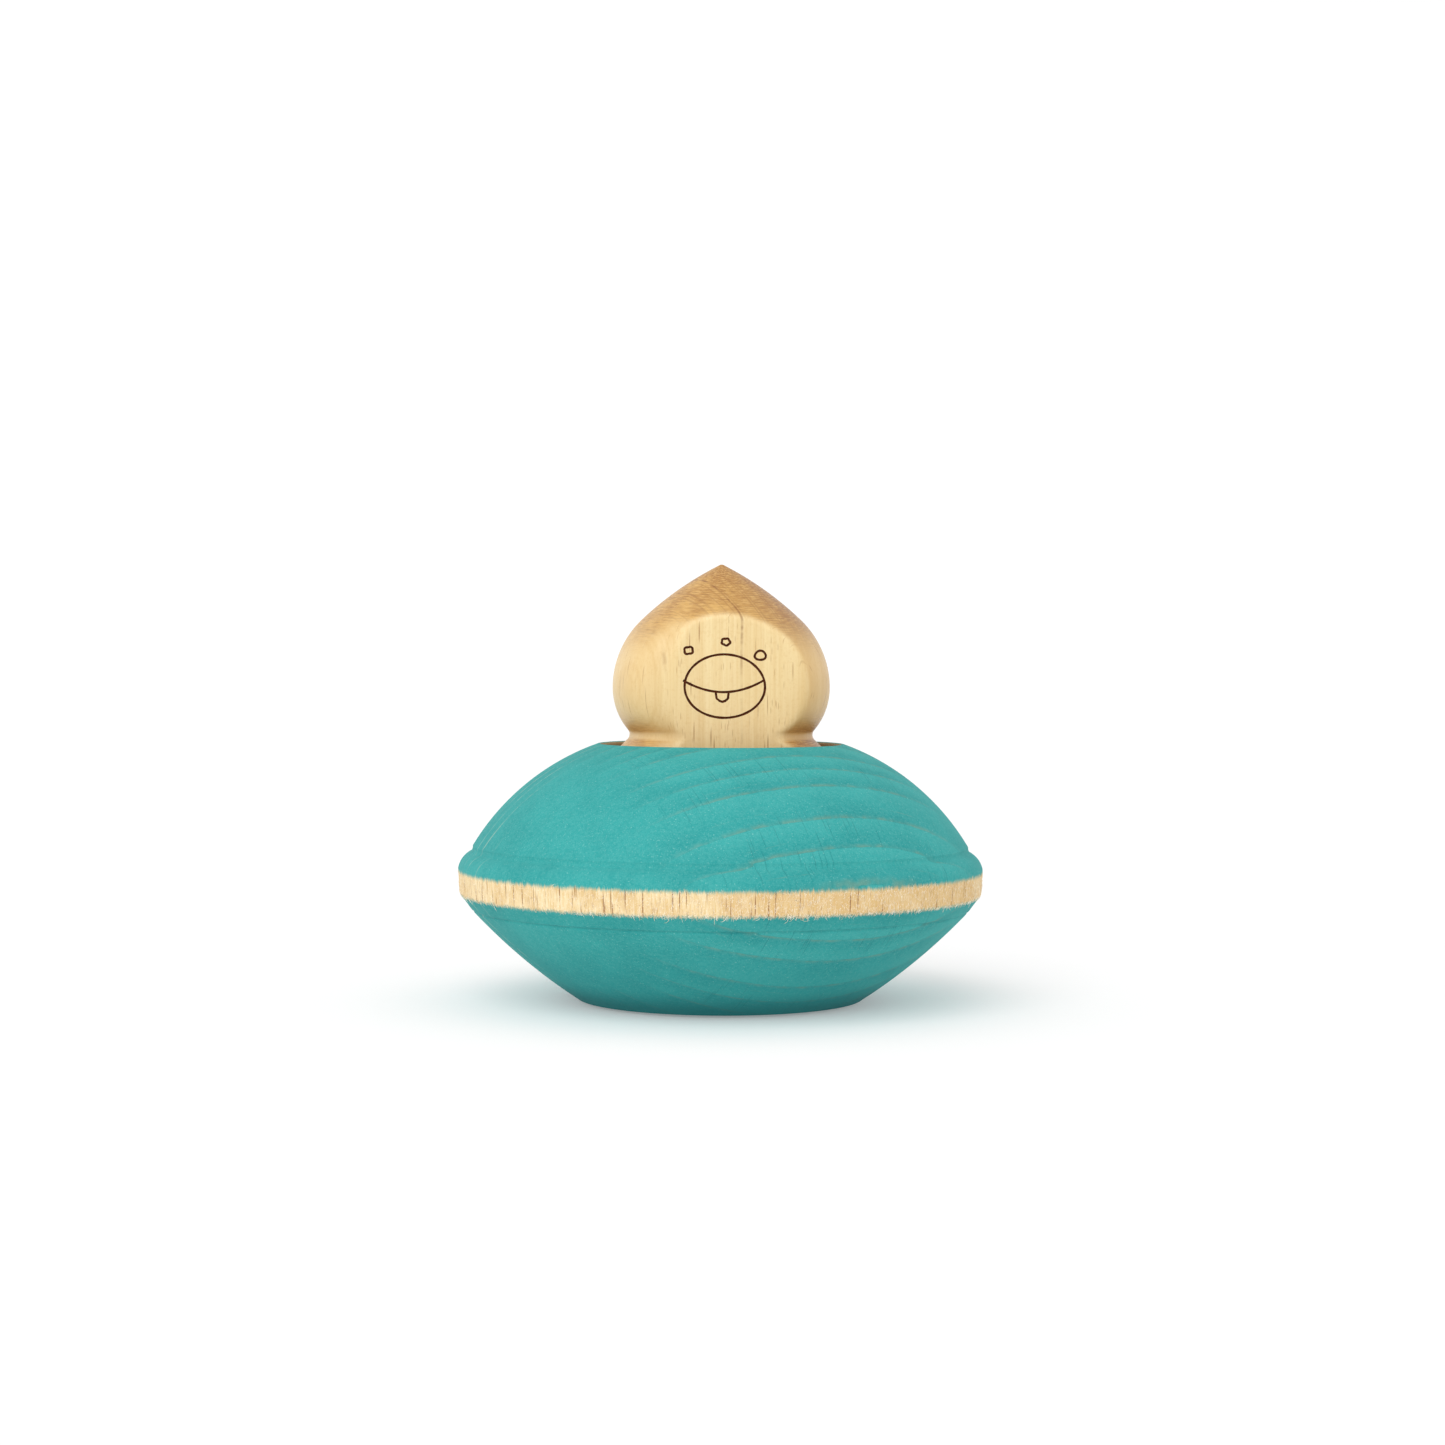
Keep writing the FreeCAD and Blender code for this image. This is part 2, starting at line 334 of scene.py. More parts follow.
def engrave(piece, wood, char):
    """Cut the face's lines into the flat; the cut faces take the second material."""
    cutters = []
    for index, (points, closed) in enumerate(face_lines()):
        mesh = groove_cutter(f"cutter_{index}", points, closed)
        mesh.materials.append(wood)
        mesh.materials.append(char)
        for face in mesh.polygons:
            face.material_index = 1
        cutter = bpy.data.objects.new(mesh.name, mesh)
        bpy.context.scene.collection.objects.link(cutter)
        cut = piece.modifiers.new(mesh.name, "BOOLEAN")
        cut.operation = "DIFFERENCE"
        cut.solver = "MANIFOLD"
        cut.object = cutter
        cutters.append(cutter)
    graph = bpy.context.evaluated_depsgraph_get()
    carved = bpy.data.meshes.new_from_object(piece.evaluated_get(graph))
    piece.modifiers.clear()
    piece.data = carved
    for cutter in cutters:
        bpy.data.objects.remove(cutter)
    carved.shade_smooth()
    carved.set_sharp_from_angle(angle=math.radians(SHARP_TURN))


def make_pilot(wood, char):
    """The lacquered head: turned, pressed flat front and back, and engraved."""
    outline = smooth_outline(seam_outline("pilot"), PILOT_ROW_STEP)
    piece = lathe("pilot_figure", outline, PILOT_SEGMENTS)
    cut_flats(piece)
    stand_for(piece, "pilot", "pilot", "lacquered_beech", wood, char)
    engrave(piece, wood, char)
    return piece


# ------------------------------------------------------------------ raised fibres on the bare band

def radius_at(outline, height):
    """The widest radius of an outline at this height."""
    widest = 0.0
    for low, high in zip(outline, outline[1:]):
        if min(low.y, high.y) <= height <= max(low.y, high.y) and low.y != high.y:
            share = (height - low.y) / (high.y - low.y)
            widest = max(widest, low.x + (high.x - low.x) * share)
    return widest


def add_hair(verts, faces, path, thickness):
    """A thin three-sided hair along a path of points, tapering to its last point."""
    first = len(verts)
    for index, point in enumerate(path[:-1]):
        along = (path[index + 1] - point).normalized()
        side = along.orthogonal().normalized()
        other = along.cross(side)
        width = thickness * (1 - 0.6 * index / (len(path) - 1))
        for corner in range(3):
            angle = 2 * math.pi * corner / 3
            verts.append((point + (side * math.cos(angle) + other * math.sin(angle)) * width) * MM)
    verts.append(path[-1] * MM)
    faces.append((first, first + 2, first + 1))
    for index in range(len(path) - 2):
        low = first + 3 * index
        for corner in range(3):
            beside = (corner + 1) % 3
            faces.append((low + corner, low + beside, low + beside + 3, low + corner + 3))
    low = first + 3 * (len(path) - 2)
    for corner in range(3):
        faces.append((low + corner, low + (corner + 1) % 3, len(verts) - 1))


def make_fuzz(outline, material):
    """Pale fibres that the skimming tool raised on the band, most of them along its lower edge."""
    chance = random.Random(7)
    clumps = [(chance.uniform(0, 2 * math.pi), chance.uniform(0.04, 0.2)) for _ in range(50)]
    clumps += [(math.radians(chance.uniform(-110, -15)), chance.uniform(0.04, 0.2)) for _ in range(40)]
    verts = []
    faces = []
    for _ in range(FUZZ):
        centre, spread = chance.choice(clumps)
        angle = chance.gauss(centre, spread)
        low_edge = chance.random() < 0.3
        height = chance.gauss(BAND_LOW + 0.1, 0.15) if low_edge else chance.uniform(BAND_LOW, BAND_HIGH)
        length = chance.uniform(0.2, 0.6) * (2.4 if chance.random() < 0.05 else 1.0)
        lean = chance.gauss(0, 0.35)
        fall = -1 if low_edge or chance.random() < 0.5 else 1
        lift = chance.uniform(0.05, 0.35)
        curl = chance.uniform(-1.2, 1.2)
        path = []
        for step in range(4):
            gone = step / 3 * length
            tilt = lean + curl * gone
            up = height + fall * gone * math.cos(tilt)
            turn = angle + gone * math.sin(tilt) / RIM_RADIUS
            radius = radius_at(outline, up) + lift * gone - 0.005
            path.append(Vector((radius * math.cos(turn), radius * math.sin(turn), up)))
        add_hair(verts, faces, path, chance.uniform(0.018, 0.042))
    mesh = bpy.data.meshes.new("band_fuzz")
    mesh.from_pydata(verts, [], faces)
    fuzz = add_piece("band_fuzz", mesh)
    fuzz.data.materials.append(material)
    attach(fuzz, "flywheel")


# ------------------------------------------------------------------ shader graphs

class Graph:
    """Short calls that add shader nodes to one material and wire them up."""

    def __init__(self, name):
        self.material = bpy.data.materials.new(name)
        self.material.use_nodes = True
        self.tree = self.material.node_tree
        self.tree.nodes.clear()

    def node(self, kind, inputs=(), **settings):
        node = self.tree.nodes.new(f"ShaderNode{kind}")
        for name, value in settings.items():
            setattr(node, name, value)
        for socket, value in dict(inputs).items():
            if isinstance(value, bpy.types.NodeSocket):
                self.tree.links.new(value, node.inputs[socket])
            else:
                node.inputs[socket].default_value = value
        return node

    def math(self, operation, *values, clamp=False):
        return self.node("Math", enumerate(values), operation=operation, use_clamp=clamp).outputs[0]

    def add(self, *values):
        total = values[0]
        for value in values[1:]:
            total = self.math("ADD", total, value)
        return total

    def times(self, *values):
        total = values[0]
        for value in values[1:]:
            total = self.math("MULTIPLY", total, value)
        return total

    def place(self):
        """The piece's own coordinates, in mm."""
        metres = self.node("TexCoord").outputs["Object"]
        return self.node("VectorMath", {0: metres, "Scale": 1 / MM}, operation="SCALE").outputs[0]

    def dot(self, vector, direction):
        node = self.node("VectorMath", {0: vector, 1: direction}, operation="DOT_PRODUCT")
        return node.outputs["Value"]

    def vector(self, x, y, z):
        return self.node("CombineXYZ", {0: x, 1: y, 2: z}).outputs[0]

    def step(self, value, low, high, out_low=0.0, out_high=1.0):
        """out_low below low, out_high above high, and smooth between them."""
        inputs = {0: value, 1: low, 2: high, 3: out_low, 4: out_high}
        return self.node("MapRange", inputs, interpolation_type="SMOOTHSTEP").outputs[0]

    def mix(self, share, first, second, blend="MIX"):
        inputs = {0: share, 6: first, 7: second}
        return self.node("Mix", inputs, data_type="RGBA", blend_type=blend).outputs[2]

    def noise(self, vector, scale, detail=2.0, rough=0.5):
        inputs = {"Vector": vector, "Scale": scale, "Detail": detail, "Roughness": rough}
        return self.node("TexNoise", inputs).outputs["Fac"]

    def cells(self, vector, scale, spread=1.0):
        """Distance to the nearest cell's point, and that cell's random number."""
        inputs = {"Vector": vector, "Scale": scale, "Randomness": spread}
        node = self.node("TexVoronoi", inputs)
        chance = self.node("SeparateColor", {0: node.outputs["Color"]}).outputs[0]
        return node.outputs["Distance"], chance

    def bump(self, height, distance, strength=1.0, under=None):
        inputs = {"Height": height, "Distance": distance * MM, "Strength": strength}
        if under:
            inputs["Normal"] = under
        return self.node("Bump", inputs).outputs["Normal"]

    def surface(self, **inputs):
        named = {name.replace("_", " "): value for name, value in inputs.items()}
        shader = self.node("BsdfPrincipled", named)
        self.node("OutputMaterial", {"Surface": shader.outputs[0]})
        return self.material


def colour(red, green, blue):
    """A display colour from 0 to 255 as the linear colour that a shader takes."""
    return (*((part / 255) ** 2.2 for part in (red, green, blue)), 1.0)


class Grain:
    """Solid beech in the piece's own space, in mm: rings, rays and fibres about a growth direction.

    facing is the direction of growth, in degrees from the front to the viewer's right; the rings lie
    spacing apart with one at first, bulge by curve, and drift by up to twice sway. They are clear
    within fade of the growth direction, and late is the dark part of each year.
    """

    def __init__(self, graph, facing, curve, spacing, first, sway, fade, late=0.16):
        self.graph = g = graph
        self.place = g.place()
        turn = math.radians(facing)
        normal = (math.sin(turn), -math.cos(turn), 0.0)
        along = (math.cos(turn), math.sin(turn), 0.0)
        self.across = g.dot(self.place, normal)
        self.side = g.dot(self.place, along)
        self.up = g.node("SeparateXYZ", {0: self.place}).outputs[2]
        self.radius = g.math("SQRT", g.add(
            g.times(self.across, self.across),
            g.times(self.side, self.side),
        ))
        slow = g.vector(g.times(self.across, 0.05), g.times(self.side, 0.05), g.times(self.up, 0.03))
        fast = g.vector(g.times(self.across, 0.8), g.times(self.side, 0.8), g.times(self.up, 0.3))
        bend = g.times(g.math("SUBTRACT", g.noise(slow, 1.0, 1.0), 0.5), 0.8)
        jitter = g.times(g.math("SUBTRACT", g.noise(fast, 1.0, 1.0), 0.5), 0.16)
        bulge = g.times(self.side, self.side, curve)
        self.plain_depth = g.add(self.across, bulge, bend)
        depth = g.math("SUBTRACT", g.add(self.plain_depth, jitter), first)
        uneven = g.times(g.math("COSINE", g.times(depth, 2 * math.pi / (3 * spacing))), -sway)
        self.depth = g.add(depth, uneven, sway)
        self.year = g.math("FRACT", g.math("DIVIDE", self.depth, spacing))
        patchy = g.step(self.noise_along(2.2), 0.38, 0.62)
        line = g.times(
            g.math("POWER", g.step(self.year, 1 - late, 0.98), 1.6),
            g.step(self.year, 0.985, 1.0, 1.0, 0.0),
        )
        echo = g.times(
            g.step(self.year, 0.60, 0.63),
            g.step(self.year, 0.63, 0.66, 1.0, 0.0),
            g.step(self.noise_along(9.0), 0.5, 0.65),
        )
        self.facing = g.step(g.math("ABSOLUTE", self.side), fade, 2.2 * fade, 1.0, 0.0)
        # Past the middle of the piece, the lines show again in one narrow strip.
        beyond = g.times(
            g.step(self.across, -4.0, 0.0, 1.0, 0.0),
            g.step(self.across, -12.0, -8.0),
        )
        clear = g.math("MAXIMUM", g.math("POWER", self.facing, 1.4), beyond)
        broken = g.add(g.times(patchy, 0.8), 0.2)
        self.latewood = g.times(g.add(line, g.times(echo, 0.6)), broken, clear)

    def noise_along(self, size):
        """Blotches that fade a ring line in and out along its length."""
        g = self.graph
        along = g.vector(g.times(self.side, 1 / size), g.times(self.up, 1 / size), 0.0)
        return g.noise(along, 1.0, 2.0)

    def rays(self, width, height, length, share, seed):
        """Thin upright lenses that run along the growth direction: dark dashes on a tangent face."""
        g = self.graph
        cell = g.vector(
            g.add(g.times(self.across, 1 / length), seed),
            g.times(self.side, 1 / width),
            g.times(self.up, 1 / height),
        )
        distance, chance = g.cells(cell, 1.0)
        chosen = g.math("GREATER_THAN", chance, 1 - share)
        return g.times(g.step(distance, 0.16, 0.5, 1.0, 0.0), chosen, self.facing)

    def arc(self, radius):
        """The way round the axis, in mm at this radius."""
        g = self.graph
        x, y, _ = g.node("SeparateXYZ", {0: self.place}).outputs
        return g.times(g.math("ARCTAN2", y, x), radius)

    def cracks(self, width, height, share):
        """Upright dashes all round the rim."""
        g = self.graph
        arc = self.arc(RIM_RADIUS)
        cell = g.vector(g.times(arc, 1 / width), g.times(self.up, 1 / height), 0.0)
        distance, chance = g.cells(cell, 1.0)
        chosen = g.math("GREATER_THAN", chance, 1 - share)
        return g.times(g.step(distance, 0.16, 0.5, 1.0, 0.0), chosen)

    def fibres(self, width, length, detail=2.0):
        """Streaks along the grain."""
        g = self.graph
        stretched = g.vector(
            g.times(self.across, 1 / width),
            g.times(self.side, 1 / width),
            g.times(self.up, 1 / length),
        )
        return g.noise(stretched, 1.0, detail, 0.6)

    def layers(self, size, detail=2.0):
        """Streaks that follow the growth layers: oval swirls where a layer meets a round cheek."""
        g = self.graph
        sheet = g.vector(
            g.times(self.plain_depth, 1 / size),
            g.times(self.side, 0.03),
            g.times(self.up, 0.015),
        )
        return g.noise(sheet, 1.0, detail, 0.6)

    def turning_marks(self, radius, length, width):
        """Fine streaks round the axis, left by the lathe tool."""
        g = self.graph
        arc = self.arc(radius)
        streaks = g.vector(g.times(arc, 1 / length), g.times(self.up, 1 / width), 0.0)
        return g.noise(streaks, 1.0, 3.0, 0.7)

    def mottle(self, size, detail=3.0):
        """Even blotches or specks of this size."""
        return self.graph.noise(self.place, 1 / size, detail, 0.6)

    def end_grain(self):
        """1 where the surface cuts across the fibres, 0 where it runs along them."""
        g = self.graph
        normal = g.node("TexCoord").outputs["Normal"]
        slope = g.math("ABSOLUTE", g.node("SeparateXYZ", {0: normal}).outputs[2])
        return g.step(slope, 0.25, 0.9)


# ------------------------------------------------------------------ materials

TEAL = colour(44, 148, 146)
TEAL_LIT = colour(53, 159, 156)
TEAL_EARLY = colour(66, 169, 165)
TEAL_DEEP = colour(28, 128, 131)
TEAL_DARK = colour(18, 98, 102)
TEAL_PALE = colour(100, 184, 178)
TEAL_SPECK = colour(158, 216, 206)
TAN = colour(134, 146, 118)
PALE_LINE = colour(170, 196, 176)
BEECH = colour(230, 202, 150)
BEECH_PALE = colour(240, 219, 176)
BEECH_WARM = colour(208, 168, 106)
FUZZ_WHITE = colour(252, 240, 216)
BARE_PAINTED_SHADE = colour(146, 132, 110)
DASH = colour(142, 92, 52)
LACQUER = colour(238, 213, 160)
LACQUER_PALE = colour(244, 223, 176)
LACQUER_WARM = colour(224, 192, 134)
LACQUER_LAYER = colour(212, 172, 112)
LACQUER_MOTTLE = colour(210, 170, 108)
LACQUER_STREAK = colour(206, 164, 104)
LACQUER_TURNED_AND_SHADE = colour(206, 162, 96)
LACQUER_LOW = colour(194, 148, 82)
HONEY = colour(204, 156, 82)
HONEY_PAINTED_SHADE = colour(148, 92, 28)
HONEY_MOTTLE = colour(156, 100, 38)
HONEY_SHEEN = colour(222, 180, 110)
HONEY_SCRATCH = colour(122, 72, 22)
HONEY_LAYER = colour(138, 86, 32)
RING = colour(132, 82, 38)
FLECK = colour(150, 98, 50)
TICK = colour(160, 110, 60)
CHAR = colour(66, 30, 10)
CHAR_BROWN = colour(96, 50, 22)
FIBRE = colour(252, 244, 226)
FIBRE_DULL = colour(236, 214, 176)
DOWEL_RING = colour(190, 146, 96)
HARDWOOD = colour(156, 108, 66)
HARDWOOD_DARK = colour(120, 78, 46)
HARDWOOD_RING = colour(84, 52, 30)


def stained_beech():
    """Matte teal water stain on beech, skimmed off round the rim and left off inside the cockpit."""
    g = Graph("stained_beech")
    wood = Grain(g, SAUCER_RINGS, curve=0.008, spacing=3.875, first=21.8, sway=0.55, fade=13.0, late=0.20)
    speck = wood.mottle(0.16, 2.0)
    cloth = wood.mottle(0.55, 2.0)
    blotch = wood.mottle(9.0, 2.0)
    streak = wood.fibres(0.3, 9.0)
    fine_streak = wood.fibres(0.1, 2.0)
    dashes = wood.rays(0.12, 5.0, 12.0, 0.065, 3.0)
    ticks = wood.rays(0.11, 1.4, 8.0, 0.06, 8.0)

    stain = g.mix(g.step(blotch, 0.3, 0.7), TEAL, TEAL_LIT)
    steps = g.add(g.times(wood.facing, 0.9), 0.1)
    stain = g.mix(g.times(g.step(wood.year, 0.0, 0.7, 1.0, 0.0), steps, 0.6), stain, TEAL_EARLY)
    stain = g.mix(g.times(g.step(wood.year, 0.4, 1.0), steps, 0.30), stain, TEAL_DEEP)
    stain = g.mix(g.times(g.step(streak, 0.42, 0.7), 0.14), stain, TEAL_DEEP)
    stain = g.mix(g.times(g.step(cloth, 0.35, 0.65), 0.16), stain, TEAL_PALE)
    stain = g.mix(g.times(g.step(speck, 0.52, 0.70), 0.32), stain, TEAL_PALE)
    stain = g.mix(g.times(g.step(wood.mottle(0.24, 2.0), 0.62, 0.74), 0.42), stain, TEAL_SPECK)
    stain = g.mix(g.times(g.step(speck, 0.46, 0.30), 0.36), stain, TEAL_DEEP)
    line_share = g.times(wood.latewood, g.step(wood.facing, 0.0, 1.0, 0.6, 0.36))
    stain = g.mix(line_share, stain, g.mix(wood.facing, PALE_LINE, TAN))
    stain = g.mix(g.times(ticks, 0.18), stain, TEAL_DARK)
    stain = g.mix(g.times(dashes, 0.55), stain, TEAL_DARK)
    strip = g.times(
        g.step(wood.up, CHINE[1], CHINE[1] + 0.2),
        g.step(wood.up, BAND_LOW, BAND_LOW + 1, 1.0, 0.0),
    )
    stain = g.mix(g.times(strip, 0.10), stain, TEAL_DARK)
    wavy_up = g.add(wood.up, g.times(cloth, 0.4))
    off_score = g.math("ABSOLUTE", g.math("SUBTRACT", wavy_up, CHINE[1] + 0.2))
    faint = g.step(wood.noise_along(4.0), 0.3, 0.7, 0.05, 0.30)
    stain = g.mix(g.times(g.step(off_score, 0.0, 0.34, 1.0, 0.0), faint), stain, TEAL_DARK)
    # Painted shade: the lower hull is darkened more and more towards the foot.
    stain = g.mix(g.step(wood.up, FOOT + 2.0, CHINE[1], 0.35, 0.0), stain, TEAL_DEEP)
    # Painted shade: a darker band round the foot, darkest at the foot itself and across the underside.
    stain = g.mix(g.step(wood.up, FOOT + 0.4, FOOT + 4.5, 0.7, 0.0), stain, TEAL_DARK)

    bare = g.mix(g.step(streak, 0.35, 0.65), BEECH, BEECH_PALE)
    warm = g.times(g.step(wood.side, -26.0, -12.0), g.step(wood.side, 20.0, 34.0, 1.0, 0.3))
    bare = g.mix(g.times(warm, 0.5), bare, BEECH_WARM)
    bare = g.mix(g.times(g.step(wood.mottle(5.0, 2.0), 0.38, 0.62), 0.45), bare, BEECH_WARM)
    bare = g.mix(g.times(g.step(fine_streak, 0.56, 0.70), 0.55), bare, FUZZ_WHITE)
    bare = g.mix(g.times(g.step(fine_streak, 0.44, 0.32), 0.35), bare, BEECH_WARM)
    bare = g.mix(g.times(wood.cracks(0.14, 1.4, 0.16), 0.50), bare, DASH)
    bare = g.mix(g.times(wood.cracks(0.24, 5.0, 0.19), 0.95), bare, DASH)
    bare = g.mix(g.times(g.step(wood.mottle(0.2, 1.0), 0.60, 0.72), 0.6), bare, FUZZ_WHITE)

    ragged = g.add(
        g.times(g.math("SUBTRACT", fine_streak, 0.5), 1.1),
        g.times(g.math("SUBTRACT", wood.fibres(0.6, 30.0), 0.5), 0.8),
    )
    height = g.add(wood.up, ragged)
    skimmed = g.times(
        g.step(height, BAND_LOW - 0.35, BAND_LOW + 0.35),
        g.step(height, BAND_HIGH - 0.4, BAND_HIGH + 0.4, 1.0, 0.0),
        g.math("GREATER_THAN", wood.radius, COCKPIT_RADIUS + 10),
    )
    inside = g.times(
        g.step(wood.radius, COCKPIT_RADIUS + 0.1, COCKPIT_RADIUS + 0.35, 1.0, 0.0),
        g.math("GREATER_THAN", wood.up, FOOT + 10),
    )
    base = g.mix(skimmed, stain, bare)
    # Painted shade: inside the cockpit the bare wood is turned three quarters of the way to a darker
    # grey-brown.
    base = g.mix(inside, base, g.mix(0.75, bare, BARE_PAINTED_SHADE))
    rough = g.step(speck, 0.3, 0.7, 0.66, 0.84)
    relief = g.add(g.times(streak, 0.35), g.times(speck, 0.35), g.times(cloth, 0.35),
                   g.times(dashes, -0.6), g.times(fine_streak, g.add(0.2, skimmed)))
    normal = g.bump(relief, 0.05, 0.5)
    return g.surface(Base_Color=base, Roughness=rough, Normal=normal, Specular_IOR_Level=0.22)


def lacquered_beech():
    """Clear satin lacquer on beech: pale on the flats, honey where the crown shows end grain."""
    g = Graph("lacquered_beech")
    wood = Grain(g, PILOT_RINGS, curve=0.004, spacing=15.0, first=4.7, sway=0.7, fade=30.0, late=0.035)
    layer = wood.layers(1.1, 3.0)
    fine_layer = wood.layers(0.3)
    streak = wood.fibres(0.6, 30.0, 2.0)
    fine_streak = wood.fibres(0.12, 4.0)
    dashes = wood.rays(0.13, 4.6, 9.0, 0.05, 1.0)
    ticks = wood.rays(0.10, 1.6, 6.0, 0.07, 5.0)
    marks = wood.turning_marks(HEAD_RADIUS, 3.0, 0.13)
    end = wood.end_grain()
    along = g.math("SUBTRACT", 1.0, end)
    off_axis = g.math("ABSOLUTE", g.node("SeparateXYZ", {0: wood.place}).outputs[1])
    turned = g.step(off_axis, FLAT - 0.8, FLAT - 0.1, 1.0, 0.0)

    pale = g.mix(g.step(layer, 0.28, 0.72, 0.2, 0.8), LACQUER, LACQUER_WARM)
    pale = g.mix(g.times(g.step(streak, 0.42, 0.66), 0.22), pale, LACQUER_PALE)
    pale = g.mix(g.times(g.step(fine_layer, 0.45, 0.7), 0.14), pale, LACQUER_LAYER)
    pale = g.mix(g.times(g.step(wood.mottle(0.5, 2.0), 0.5, 0.68), 0.18), pale, LACQUER_MOTTLE)
    pale = g.mix(g.times(g.step(fine_streak, 0.52, 0.70), 0.20), pale, LACQUER_STREAK)
    low_right = g.times(g.step(wood.across, 1.0, -6.0), g.step(wood.up, 56.0, 36.0))
    pale = g.mix(g.times(low_right, g.step(layer, 0.1, 0.5), 0.8), pale, LACQUER_LOW)
    # The turned cheeks take a warmer tone of their own, and more of it towards the viewer's right, which
    # is painted shade.
    turned_tone_and_shade = g.times(turned, g.step(wood.across, -8.0, 10.0, 0.5, 0.28))
    pale = g.mix(turned_tone_and_shade, pale, LACQUER_TURNED_AND_SHADE)
    # Painted shade: the crown's honey goes darker towards the viewer's right.
    honey = g.mix(g.step(wood.across, -8.0, 7.0), HONEY_PAINTED_SHADE, HONEY)
    honey = g.mix(g.times(g.step(wood.mottle(3.5, 3.0), 0.36, 0.62), 0.5), honey, HONEY_MOTTLE)
    honey = g.mix(g.times(g.step(marks, 0.50, 0.60), 0.60), honey, HONEY_SHEEN)
    honey = g.mix(g.times(g.step(marks, 0.46, 0.36), 0.60), honey, HONEY_SCRATCH)
    honey = g.mix(g.times(g.step(wood.layers(0.45), 0.52, 0.66), 0.35), honey, HONEY_LAYER)
    base = g.mix(end, pale, honey)
    fading = g.step(wood.up, 46.0, 57.0, 0.15, 0.7)
    base = g.mix(g.times(wood.latewood, fading), base, RING)
    base = g.mix(g.times(dashes, along, 0.75), base, FLECK)
    base = g.mix(g.times(ticks, along, 0.40), base, TICK)
    rough = g.step(fine_streak, 0.3, 0.7, 0.34, 0.48)
    relief = g.add(g.times(fine_streak, 0.6), g.times(dashes, -0.8), g.times(streak, 0.3),
                   g.times(marks, end, 0.6))
    normal = g.bump(relief, 0.02, 0.5)
    return g.surface(Base_Color=base, Roughness=rough, Normal=normal, Specular_IOR_Level=0.4,
                     Coat_Weight=0.12, Coat_Roughness=0.25)


def charred_line():
    """The burned bottom of an engraved line."""
    g = Graph("charred_line")
    place = g.place()
    base = g.mix(g.step(g.noise(place, 1 / 0.2, 3.0, 0.6), 0.4, 0.65), CHAR, CHAR_BROWN)
    normal = g.bump(g.noise(place, 1 / 0.12, 3.0, 0.6), 0.03, 0.5)
    rough = g.step(g.noise(place, 1 / 0.3, 3.0, 0.6), 0.3, 0.7, 0.7, 0.95)
    return g.surface(Base_Color=base, Roughness=rough, Normal=normal, Specular_IOR_Level=0.2)


def raised_fibre():
    """Torn, bleached wood fibres."""
    g = Graph("raised_fibre")
    place = g.place()
    tint = g.mix(g.step(g.noise(place, 0.9), 0.35, 0.65), FIBRE, FIBRE_DULL)
    rough = g.step(g.noise(place, 2.0), 0.3, 0.7, 0.6, 0.9)
    return g.surface(Base_Color=tint, Roughness=rough, Specular_IOR_Level=0.3)


def plain_beech():
    """Unfinished turned beech of the dowel."""
    g = Graph("bare_beech")
    wood = Grain(g, DOWEL_RINGS, curve=0.004, spacing=2.6, first=0.8, sway=0.3, fade=30.0)
    streak = wood.fibres(0.3, 12.0)
    dashes = wood.rays(0.12, 2.2, 8.0, 0.12, 2.0)
    base = g.mix(g.step(streak, 0.35, 0.65), BEECH_WARM, BEECH)
    base = g.mix(g.times(wood.latewood, 0.4), base, DOWEL_RING)
    base = g.mix(g.times(dashes, 0.7), base, DASH)
    normal = g.bump(g.add(streak, g.times(dashes, -0.6)), 0.04, 0.5)
    rough = g.step(streak, 0.3, 0.7, 0.55, 0.7)
    return g.surface(Base_Color=base, Roughness=rough, Normal=normal, Specular_IOR_Level=0.3)


def waxed_hardwood():
    """Dark, waxed hardwood of the spin tip, polished where it spins."""
    g = Graph("hardwood_tip")
    wood = Grain(g, TIP_RINGS, curve=0.004, spacing=1.6, first=0.4, sway=0.2, fade=30.0)
    streak = wood.fibres(0.25, 5.0)
    base = g.mix(g.step(streak, 0.35, 0.65), HARDWOOD_DARK, HARDWOOD)
    base = g.mix(g.times(wood.latewood, 0.5), base, HARDWOOD_RING)
    worn = g.step(wood.radius, 1.0, 3.5)
    rough = g.add(g.times(worn, 0.25), g.step(streak, 0.3, 0.7, 0.2, 0.3))
    normal = g.bump(streak, 0.02, 0.4)
    return g.surface(Base_Color=base, Roughness=rough, Normal=normal,
                     Coat_Weight=0.3, Coat_Roughness=0.2)


def pale_floor():
    """A plain white light table, so that its shadows stay pale."""
    g = Graph("pale_floor")
    tint = g.mix(g.noise(g.place(), 0.003), colour(220, 220, 220), colour(222, 222, 222))
    return g.surface(Base_Color=tint, Roughness=0.9, Specular_IOR_Level=0.0,
                     Emission_Color=(1, 1, 1, 1), Emission_Strength=0.25)


# ------------------------------------------------------------------ camera, floor and light

def make_camera():
    """A long lens just above the saucer, a little to the left of the pilot's gaze."""
    distance, height = 0.42, 0.05355
    azimuth, pitch, roll = math.radians(-4), math.radians(1.507), math.radians(0.25)
    data = bpy.data.cameras.new("camera")
    data.sensor_width = 36
    data.lens = 68.4
    data.shift_x = 0.001
    camera = bpy.data.objects.new("camera", data)
    camera.location = (distance * math.sin(azimuth), -distance * math.cos(azimuth), height)
    level = Euler((math.pi / 2 - pitch, 0, azimuth)).to_matrix()
    camera.rotation_euler = (level @ Matrix.Rotation(roll, 3, "Z")).to_euler()
    bpy.context.scene.collection.objects.link(camera)
    bpy.context.scene.camera = camera


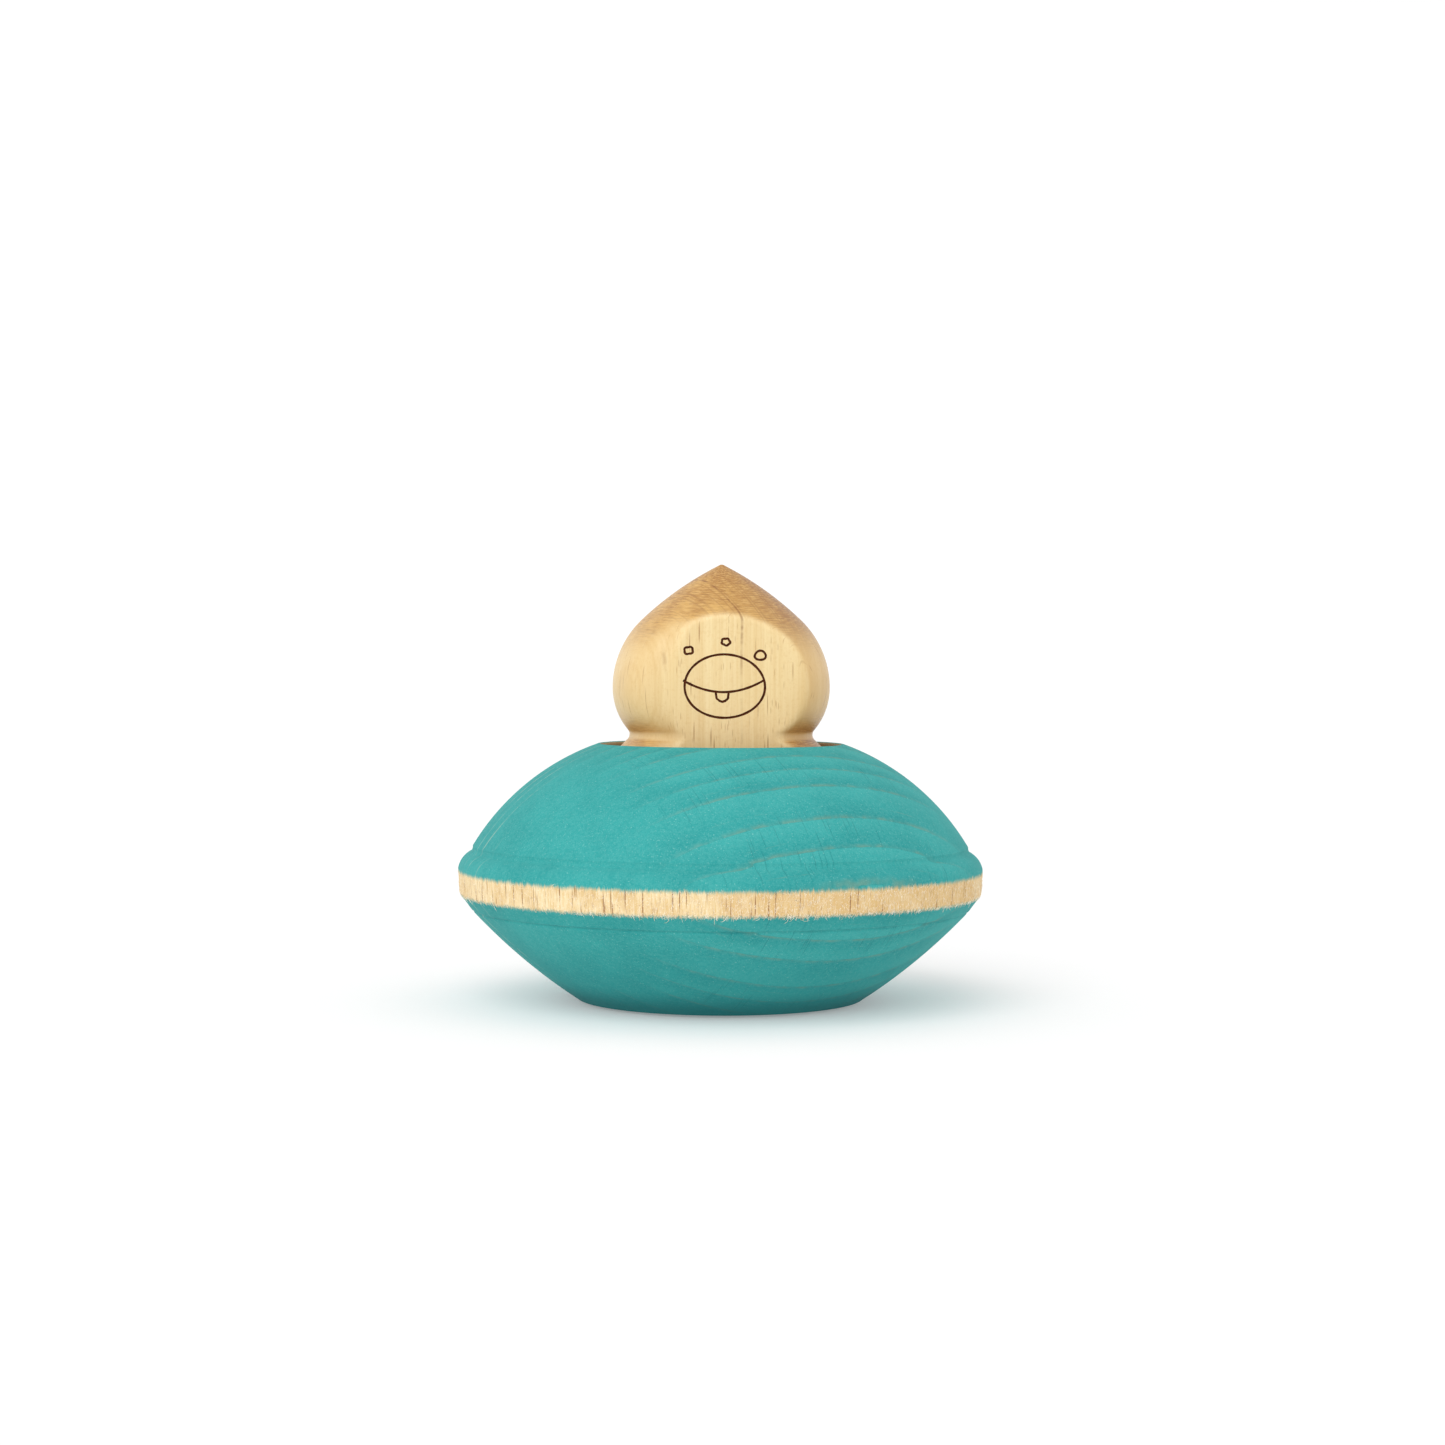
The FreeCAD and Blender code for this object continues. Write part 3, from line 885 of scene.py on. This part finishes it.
def make_floor():
    """The table top, at the level of the spin tip."""
    half = 6.0
    mesh = bpy.data.meshes.new("floor")
    mesh.from_pydata([(-half, -half, 0), (half, -half, 0), (half, half, 0), (-half, half, 0)], [],
                     [(0, 1, 2, 3)])
    floor = bpy.data.objects.new("floor", mesh)
    floor.data.materials.append(pale_floor())
    bpy.context.scene.collection.objects.link(floor)


def add_key(azimuth, elevation, strength, softness):
    """A wide, soft key light, at angles in degrees: azimuth is from the front to the viewer's right."""
    data = bpy.data.lights.new("key", "SUN")
    data.energy = strength
    data.angle = math.radians(softness)
    light = bpy.data.objects.new("key", data)
    light.rotation_euler = (math.radians(90 - elevation), 0, math.radians(azimuth))
    bpy.context.scene.collection.objects.link(light)


def light_studio():
    """White walls, brighter at the viewer's left, under a dimmer ceiling, and one soft key light."""
    scene = bpy.context.scene
    scene.view_settings.view_transform = "Standard"
    world = bpy.data.worlds.new("studio")
    world.use_nodes = True
    tree = world.node_tree
    ways = tree.nodes.new("ShaderNodeTexCoord").outputs["Generated"]
    parts = tree.nodes.new("ShaderNodeSeparateXYZ")
    tree.links.new(ways, parts.inputs[0])
    levels = []
    for axis, low, high, at_low, at_high in (
        (2, 0.15, 0.5, WALL, CEILING),
        (0, -0.9, 0.9, LEFT_LEVEL, RIGHT_LEVEL),
    ):
        ramp = tree.nodes.new("ShaderNodeMapRange")
        for socket, value in zip(ramp.inputs[1:5], (low, high, at_low, at_high)):
            socket.default_value = value
        tree.links.new(parts.outputs[axis], ramp.inputs[0])
        levels.append(ramp.outputs[0])
    product = tree.nodes.new("ShaderNodeMath")
    product.operation = "MULTIPLY"
    for level, socket in zip(levels, product.inputs):
        tree.links.new(level, socket)
    shade = tree.nodes["Background"]
    shade.inputs["Color"].default_value = (1, 1, 1, 1)
    tree.links.new(product.outputs[0], shade.inputs["Strength"])
    scene.world = world
    add_key(-26, 42, 1.1, 50)


# ------------------------------------------------------------------ build

shell = make_saucer(stained_beech())
make_fuzz(shell, raised_fibre())
turned_piece("tip_button", "spin_tip", "flywheel", "hardwood_tip", waxed_hardwood(), 128, 0.3)
turned_piece("peg_dowel", "pilot_peg", "peg", "bare_beech", plain_beech(), 128, 0.5)
make_pilot(lacquered_beech(), charred_line())
make_floor()
light_studio()
make_camera()
